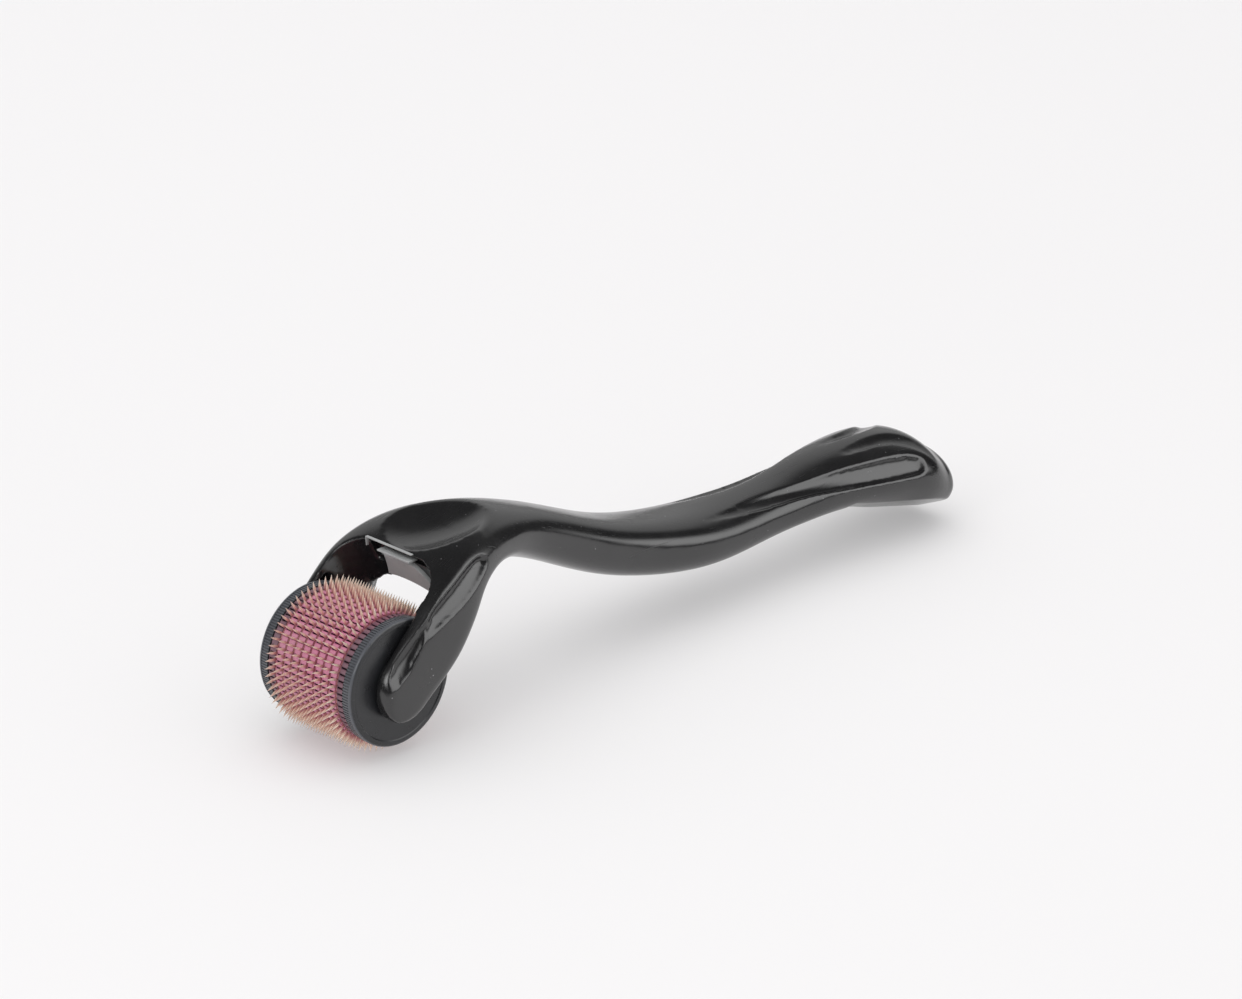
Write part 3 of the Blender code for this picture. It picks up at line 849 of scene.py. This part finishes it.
def satin_charcoal(name, low, high, rough_low, rough_high, rim=None):
    """Satin plastic; the rim colour, where it is given, is a painted highlight on the roller's outermost
    surface.
    """
    material, tree, shader = new_material(name)
    skin = use_group(tree, "moulded_skin", Grain_Scale=5200.0, Wave_Scale=500.0)
    marks = use_group(tree, "handling_marks", Speck_Amount=0.5, Scratch_Amount=0.7)
    colour = mix(tree, skin["Patches"], low, high)
    if rim:
        distance = use_group(tree, "axle_distance")["Millimetres"]
        # painted highlight: the lighter band on the caps' outermost rim
        rim_highlight = span(tree, distance, CAP_R / MM - 0.26, CAP_R / MM - 0.07)
        colour = mix(tree, rim_highlight, colour, rim)
    colour = mix(tree, marks["Specks"], colour, (0.4, 0.4, 0.42))
    colour = mix(tree, maths(tree, "MULTIPLY", marks["Scratches"], 0.35), colour, (0.16, 0.16, 0.17))
    tree.links.new(colour, shader.inputs["Base Color"])
    tree.links.new(span(tree, skin["Patches"], 0.0, 1.0, rough_low, rough_high), shader.inputs["Roughness"])
    bump(tree, shader, skin["Height"], 0.3, 0.00008)
    return material


def rose_plastic(name, deep, flank_shade, crown_low, crown_high):
    """Rose plastic: dark maroon down in the grooves and on the flanks as painted shade, paler on the crowns.
    """
    material, tree, shader = new_material(name, Coat_Roughness=0.25)
    skin = use_group(tree, "moulded_skin", Grain_Scale=6000.0, Wave_Scale=900.0)
    distance = use_group(tree, "axle_distance")["Millimetres"]
    crown = span(tree, distance, DRUM_R / MM - 0.32, DRUM_R / MM - 0.02)
    # painted shade: the deeper a place lies in the grooves between the blocks, the darker it is
    colour = ramp(tree, crown, ((0.0, deep), (0.45, flank_shade), (0.8, crown_low), (1.0, crown_high)))
    grey, share = 0.42, 0.4
    chalky = tuple((1 - share) * part + share * grey for part in crown_high)
    paler = mix(tree, maths(tree, "MULTIPLY", skin["Patches"], 0.5), colour, chalky)
    shade = mix(tree, maths(tree, "MULTIPLY", crown, 0.85), colour, paler)
    tree.links.new(shade, shader.inputs["Base Color"])
    tree.links.new(span(tree, skin["Patches"], 0.0, 1.0, 0.30, 0.46), shader.inputs["Roughness"])
    bump(tree, shader, skin["Height"], 0.25, 0.00006)
    return material


def gold_needles():
    """Gold-plated etched steel, with painted light: dark and rose-tinted at the root as painted shade and a
    painted reflection of the rose rings, pale towards the point as a painted highlight.
    """
    material, tree, shader = new_material("gold_needle_steel", metallic=0.35)
    distance = use_group(tree, "axle_distance")["Millimetres"]
    along = span(tree, distance, DISC_ROOT_R / MM, NEEDLE_TIP_R / MM)
    # painted shade and painted rose reflection at the root, painted highlight towards the point
    colour = ramp(tree, along, ((0.0, (0.30, 0.06, 0.10)), (0.22, (0.62, 0.29, 0.29)),
                                (0.48, (0.94, 0.73, 0.58)), (1.0, (1.0, 0.94, 0.83))))
    skin = use_group(tree, "moulded_skin", Grain_Scale=16000.0, Wave_Scale=2400.0)
    colour = mix(tree, maths(tree, "MULTIPLY", skin["Patches"], 0.4), colour, (0.76, 0.51, 0.40))
    tree.links.new(colour, shader.inputs["Base Color"])
    tree.links.new(span(tree, along, 0.0, 1.0, 0.42, 0.24), shader.inputs["Roughness"])
    bump(tree, shader, skin["Height"], 0.3, 0.00003)
    return material


def dress(piece, material):
    piece.data.materials.clear()
    piece.data.materials.append(material)
    return piece


def soften(piece, angle):
    """Smooth shading, with the edges sharper than the angle kept crisp."""
    choose(piece)
    bpy.ops.object.shade_smooth_by_angle(angle=radians(angle))


# ---- Room, light and camera --------------------------------------------------------
# Panels that reflections see: azimuth, half width, lower and upper elevation, all in degrees, and
# strength.
GLOW_PANELS = ((-62, 34, 8, 51, 3.0), (-155, 17, 20, 44, 3.0), (48, 38, 3, 36, 0.65))


def make_floor():
    """White paper that gives off a little light, so the shadows stay faint."""
    clear_selection()
    bpy.ops.mesh.primitive_plane_add(size=6, location=(0, 0, 0))
    floor = done(bpy.context.object, "studio_floor")
    material, tree, shader = new_material("studio_floor_paper", Emission_Color=(1, 0.995, 0.998, 1),
                                          Emission_Strength=0.285)
    where = tree.nodes.new("ShaderNodeTexCoord").outputs["Object"]
    colour = mix(tree, noise(tree, where, 3.0, 2.0), (0.545, 0.540, 0.545), (0.575, 0.572, 0.575))
    tree.links.new(colour, shader.inputs["Base Color"])
    shader.inputs["Roughness"].default_value = 0.75
    dress(floor, material)


def make_light(name, place, aim, size, energy, colour=(1, 1, 1)):
    """A square light box, turned to face its aim."""
    data = bpy.data.lights.new(name, "AREA")
    data.energy = energy
    data.color = colour
    data.shape = "RECTANGLE"
    data.size = data.size_y = size
    lamp = bpy.data.objects.new(name, data)
    bpy.context.scene.collection.objects.link(lamp)
    lamp.location = place
    lamp.rotation_euler = (Vector(aim) - Vector(place)).to_track_quat("-Z", "Y").to_euler()
    return lamp


def glow(tree, way, azimuth, half, low, high, strength):
    """A soft-edged bright panel in the tent, by its angles in degrees and its strength."""
    x, y, up = way
    square = maths(tree, "ADD", maths(tree, "MULTIPLY", x, x), maths(tree, "MULTIPLY", y, y))
    flat = maths(tree, "SQRT", square)
    facing = maths(tree, "ADD", maths(tree, "MULTIPLY", x, cos(radians(azimuth))),
                   maths(tree, "MULTIPLY", y, sin(radians(azimuth))))
    facing = maths(tree, "DIVIDE", facing, flat)
    wide = span(tree, facing, cos(radians(half + 7)), cos(radians(half - 5)))
    above = span(tree, up, sin(radians(low - 4)), sin(radians(low + 4)))
    below = span(tree, up, sin(radians(high + 7)), sin(radians(high - 4)))
    panel = maths(tree, "MULTIPLY", maths(tree, "MULTIPLY", wide, above), below)
    return maths(tree, "MULTIPLY", panel, strength)


def make_studio():
    """A pale light tent. Reflections see a darker one with bright panels, so gloss black stays black."""
    scene = bpy.context.scene
    world = bpy.data.worlds.new("studio")
    scene.world = world
    world.use_nodes = True
    tree = world.node_tree
    tent = tree.nodes["Background"]
    tent.inputs["Color"].default_value = (1.0, 0.99, 0.993, 1)
    tent.inputs["Strength"].default_value = 0.90
    dim = tree.nodes.new("ShaderNodeBackground")
    way = node(tree, "ShaderNodeSeparateXYZ", {0: tree.nodes.new("ShaderNodeTexCoord").outputs["Generated"]})
    way = [way.outputs[axis] for axis in "XYZ"]
    level = span(tree, way[2], 0.1, 1.0, 0.06, 0.10)
    for panel in GLOW_PANELS:
        level = maths(tree, "ADD", level, glow(tree, way, *panel))
    tree.links.new(level, dim.inputs["Strength"])
    both = tree.nodes.new("ShaderNodeMixShader")
    tree.links.new(tree.nodes.new("ShaderNodeLightPath").outputs["Is Glossy Ray"], both.inputs[0])
    tree.links.new(tent.outputs[0], both.inputs[1])
    tree.links.new(dim.outputs[0], both.inputs[2])
    tree.links.new(both.outputs[0], tree.nodes["World Output"].inputs["Surface"])
    overhead = make_light("overhead_box", (-0.05, 0.10, 1.00), (0, 0, 0), 1.3, 3.6, (1.0, 0.995, 0.99))
    overhead.visible_glossy = False
    make_light("front_box", (-0.75, -0.10, 0.42), (-0.04, 0, 0.01), 0.30, 0.8)
    scene.view_settings.view_transform = "Standard"


def make_camera():
    """Looks across the roller to the tail, from in front and to the right."""
    turn, rise, away = radians(42.3), radians(24.4), 1080.6 * MM     # where it stands, from the axle
    dip, heading = 23.15, 44.57                                      # where it looks, in degrees
    data = bpy.data.cameras.new("camera")
    data.sensor_width = 36
    data.lens = 214.5
    data.clip_end = 20
    camera = bpy.data.objects.new("camera", data)
    bpy.context.scene.collection.objects.link(camera)
    camera.location = AXLE + away * Vector((-sin(turn) * cos(rise), -cos(turn) * cos(rise), sin(rise)))
    camera.rotation_euler = (radians(90 - dip), 0, radians(-heading))
    bpy.context.scene.camera = camera


# ---- Putting it together -------------------------------------------------------------
def main():
    GROUPS["axle_distance"] = build_axle_distance()
    GROUPS["moulded_skin"] = build_moulded_skin()
    GROUPS["handling_marks"] = build_handling_marks()
    black = gloss_black()
    # the rim colour given to the caps is a painted highlight on their outermost rim
    charcoal = satin_charcoal("charcoal_cap_plastic", (0.014, 0.0145, 0.016), (0.024, 0.025, 0.028),
                              0.24, 0.36, rim=(0.085, 0.09, 0.102))
    # the grey of the catch pieces is painted light: a painted reflection on the plate and a painted
    # highlight line on the lip
    grey = satin_charcoal("catch_grey_painted_light", (0.30, 0.31, 0.31), (0.40, 0.41, 0.41), 0.35, 0.5)
    # each rose plastic's first two colours are painted shade in the grooves and on the flanks
    rose = rose_plastic("rose_ring_plastic", (0.040, 0.005, 0.018), (0.21, 0.036, 0.090),
                        (0.44, 0.115, 0.215), (0.56, 0.21, 0.32))
    # a darker copy of the rose plastic for the two end rings: painted shade beside the caps
    shaded_end_rose = rose_plastic("end_ring_painted_shade", (0.014, 0.003, 0.008), (0.05, 0.014, 0.028),
                        (0.11, 0.040, 0.066), (0.17, 0.075, 0.105))
    gold = gold_needles()

    skin = dress(make_handle(), black)
    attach(skin, "handle")
    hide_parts("handle")
    plate = dress(make_catch_plate(), grey)
    ledge = dress(make_catch_ledge(), grey)
    lip = dress(make_catch_lip(), grey)
    for piece in (plate, ledge, lip):
        soften(piece, 35)
        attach(piece, "handle")

    ring, disc = make_ring(), make_disc()
    for pattern, nodes, material, slot, word in ((ring, RINGS, rose, "ring_plastic", "rose_ring"),
                                                 (disc, DISCS, gold, "needle_metal", "needle_plate")):
        dress(pattern, material)
        soften(pattern, 30)
        for i, node_name in enumerate(nodes):
            piece = copy_along(pattern, f"{word}_{i + 1}", middle_along(node_name))
            # the two end rings take the painted shade copy
            if pattern is ring and i in (0, len(nodes) - 1):
                dress(piece, shaded_end_rose)
            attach(piece, "roller")
            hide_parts(node_name)
        bpy.data.objects.remove(pattern)
    for side, word in ((-1, "right"), (1, "left")):
        cap = dress(make_cap(side, f"cap_{word}"), charcoal)
        soften(cap, 30)
        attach(cap, "roller")
        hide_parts(f"end_cap_{word}")
    dress(frame["nodes"]["roller_core"], charcoal)

    make_floor()
    make_studio()
    make_camera()


main()
